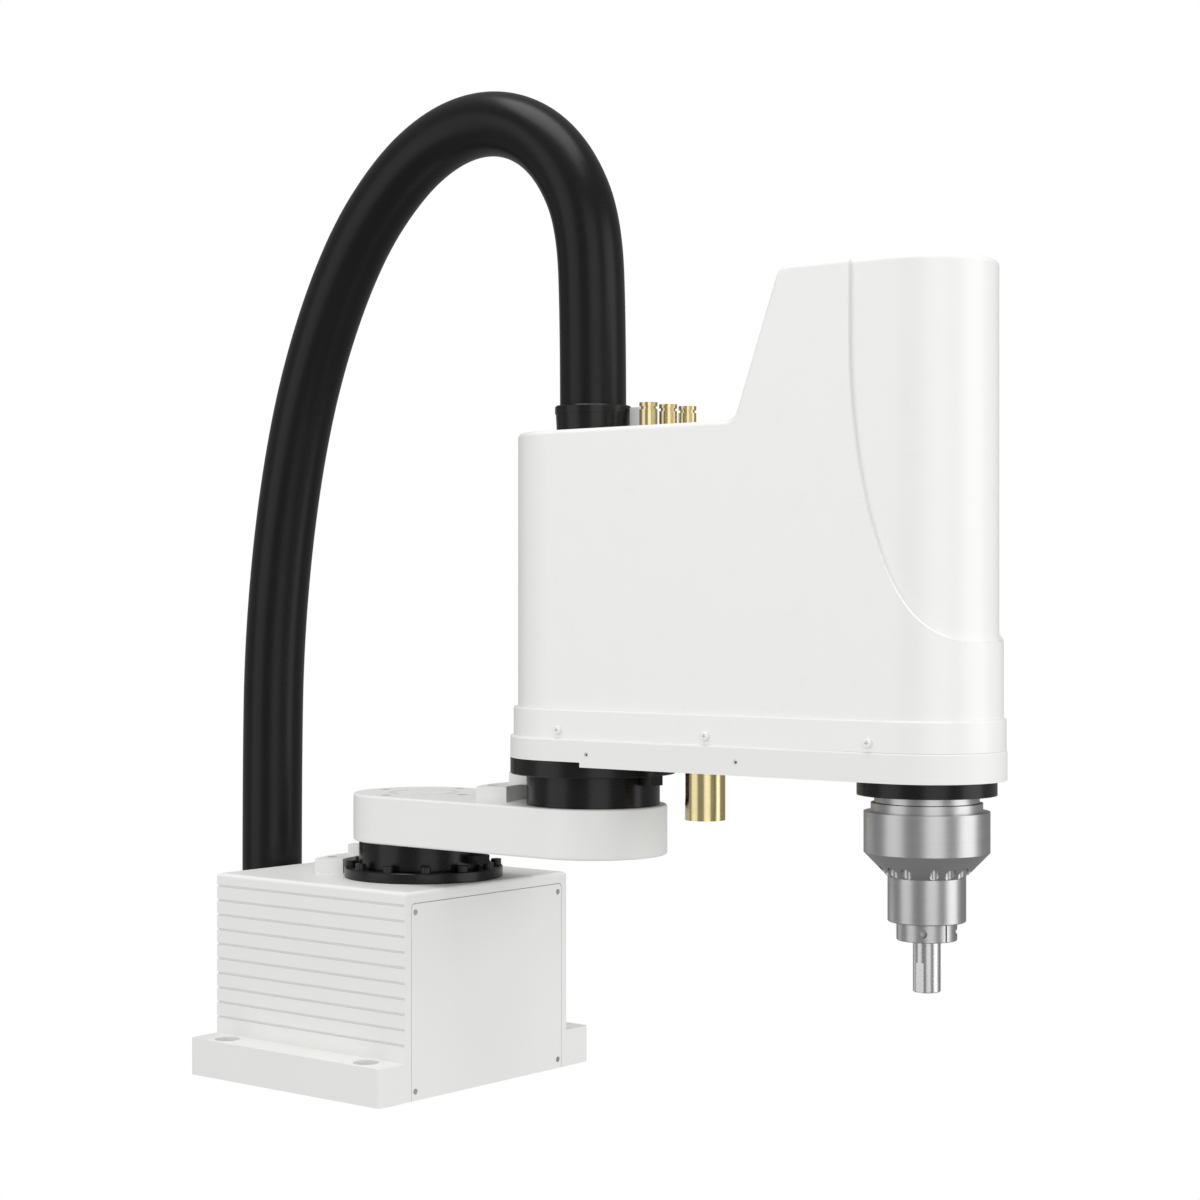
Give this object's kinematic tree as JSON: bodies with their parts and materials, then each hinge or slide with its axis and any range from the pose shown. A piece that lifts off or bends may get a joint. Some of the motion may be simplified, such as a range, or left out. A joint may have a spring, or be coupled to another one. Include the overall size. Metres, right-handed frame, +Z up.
{
  "type": "scara robot",
  "caption": "Table-top four-axis SCARA arm: finned box base, two horizontal links, tall covered outer arm with a splined tool shaft below, black cable hose arching over.",
  "frame": {"origin": "where the first joint's axis meets the flat underside of the base", "axes": "+Z up along every joint axis, +X along both arms at the zero pose, +Y to the robot's left"},
  "size_m": [0.6226, 0.208, 0.6628],
  "materials": {
    "painted_casting": "warm white powder coat on an aluminium casting",
    "white_bracket": "warm white powder coat on milled aluminium",
    "cover_moulding": "smooth warm white moulded cover",
    "black_machined": "black anodised machined aluminium",
    "hose_rubber": "smooth satin black rubber hose",
    "black_plastic": "satin black moulding",
    "grey_socket": "light grey moulding",
    "brass_part": "turned brass",
    "steel_turned": "fine turned steel",
    "screw_black": "black oxide socket screw",
    "screw_zinc": "bright zinc-plated screw",
    "motor_body": "black anodised motor body",
    "plate_aluminium": "plain milled aluminium",
    "shaft_steel": "ground and polished hardened steel",
    "belt_rubber": "black toothed belt"
  },
  "bodies": {
    "base": {"base_housing": "painted_casting", "base_front_plate": "painted_casting", "base_rear_plate": "painted_casting", "plate_screws": "screw_zinc", "rear_duct_box": "painted_casting", "duct_box_screws": "screw_zinc", "hose_gland": "black_plastic", "cable_hose": "hose_rubber", "base_sockets": "black_machined", "base_air_fittings": "brass_part", "j1_motor": "motor_body", "j1_reducer_flange": "black_machined", "j1_flange_bolts": "screw_black", "base_stop_bracket": "white_bracket", "base_stop_bolts": "screw_black"},
    "arm_1": {"j1_barrel": "black_machined", "arm_1_link": "painted_casting", "j1_hub_bolts": "screw_black", "elbow_stop_bracket": "white_bracket", "elbow_stop_bolts": "screw_black", "j2_barrel": "black_machined", "j2_barrel_bolts": "screw_black"},
    "arm_2": {"j2_disc": "black_machined", "j2_disc_bolts": "screw_black", "arm_2_casting": "painted_casting", "casting_set_screws": "screw_zinc", "arm_2_cover": "cover_moulding", "cover_screws": "screw_zinc", "j2_motor": "motor_body", "hose_collar": "black_plastic", "user_socket": "grey_socket", "arm_air_fittings": "brass_part", "brass_sleeve": "brass_part", "j3_ring": "black_machined", "spline_housing": "steel_turned", "spline_bearings": "steel_turned", "nut_bearing": "steel_turned", "nut_bracket": "plate_aluminium", "motor_plate": "plate_aluminium", "lift_motor": "motor_body", "spin_motor": "motor_body", "lift_belt": "belt_rubber", "spin_belt": "belt_rubber"},
    "spline_sleeve": {"spline_bell": "steel_turned", "bell_screws": "screw_black", "bell_lip_ring": "steel_turned", "spline_pulley": "plate_aluminium"},
    "shaft": {"tool_shaft": "shaft_steel", "lower_stop_collar": "steel_turned", "collar_clamp_screw": "screw_black", "upper_stop_collar": "steel_turned"},
    "nut": {"screw_nut": "steel_turned", "nut_pulley": "plate_aluminium"},
    "lift_drive": {"lift_motor_pulley": "plate_aluminium"},
    "spin_drive": {"spin_motor_pulley": "plate_aluminium"}
  },
  "joints": [
    {"name": "arm_1_turn", "type": "hinge", "parent": "base", "child": "arm_1", "pos_m": [0, 0, 0.142], "axis": [0, 0, 1], "range_deg": [-132, 132], "deforming": ["cable_hose"]},
    {"name": "arm_2_turn", "type": "hinge", "parent": "arm_1", "child": "arm_2", "pos_m": [0.15, 0, 0.212], "axis": [0, 0, -1], "range_deg": [-135, 135], "deforming": ["cable_hose"]},
    {"name": "tool_spin", "type": "hinge", "parent": "arm_2", "child": "spline_sleeve", "pos_m": [0.4, 0, 0.206], "axis": [0, 0, 1], "range_deg": [-360, 360]},
    {"name": "tool_lift", "type": "slide", "parent": "spline_sleeve", "child": "shaft", "axis": [0, 0, 1], "range_m": [-0.15, 0]},
    {"name": "nut_spin", "type": "hinge", "parent": "arm_2", "child": "nut", "pos_m": [0.4, 0, 0.29], "axis": [0, 0, 1], "range_deg": [-3400, 30]},
    {"name": "lift_motor_spin", "type": "hinge", "parent": "arm_2", "child": "lift_drive", "pos_m": [0.262, 0, 0.266], "axis": [0, 0, 1], "range_deg": [-7450, 30]},
    {"name": "spin_motor_spin", "type": "hinge", "parent": "arm_2", "child": "spin_drive", "pos_m": [0.32, 0, 0.248], "axis": [0, 0, 1], "range_deg": [-800, 800]}
  ],
  "couplings": [
    {"joint": "nut_spin", "follows": "tool_lift", "rad_per_m": 392.7},
    {"joint": "lift_motor_spin", "follows": "tool_lift", "rad_per_m": 863.94},
    {"joint": "spin_motor_spin", "follows": "tool_spin", "ratio": 2.2}
  ]
}
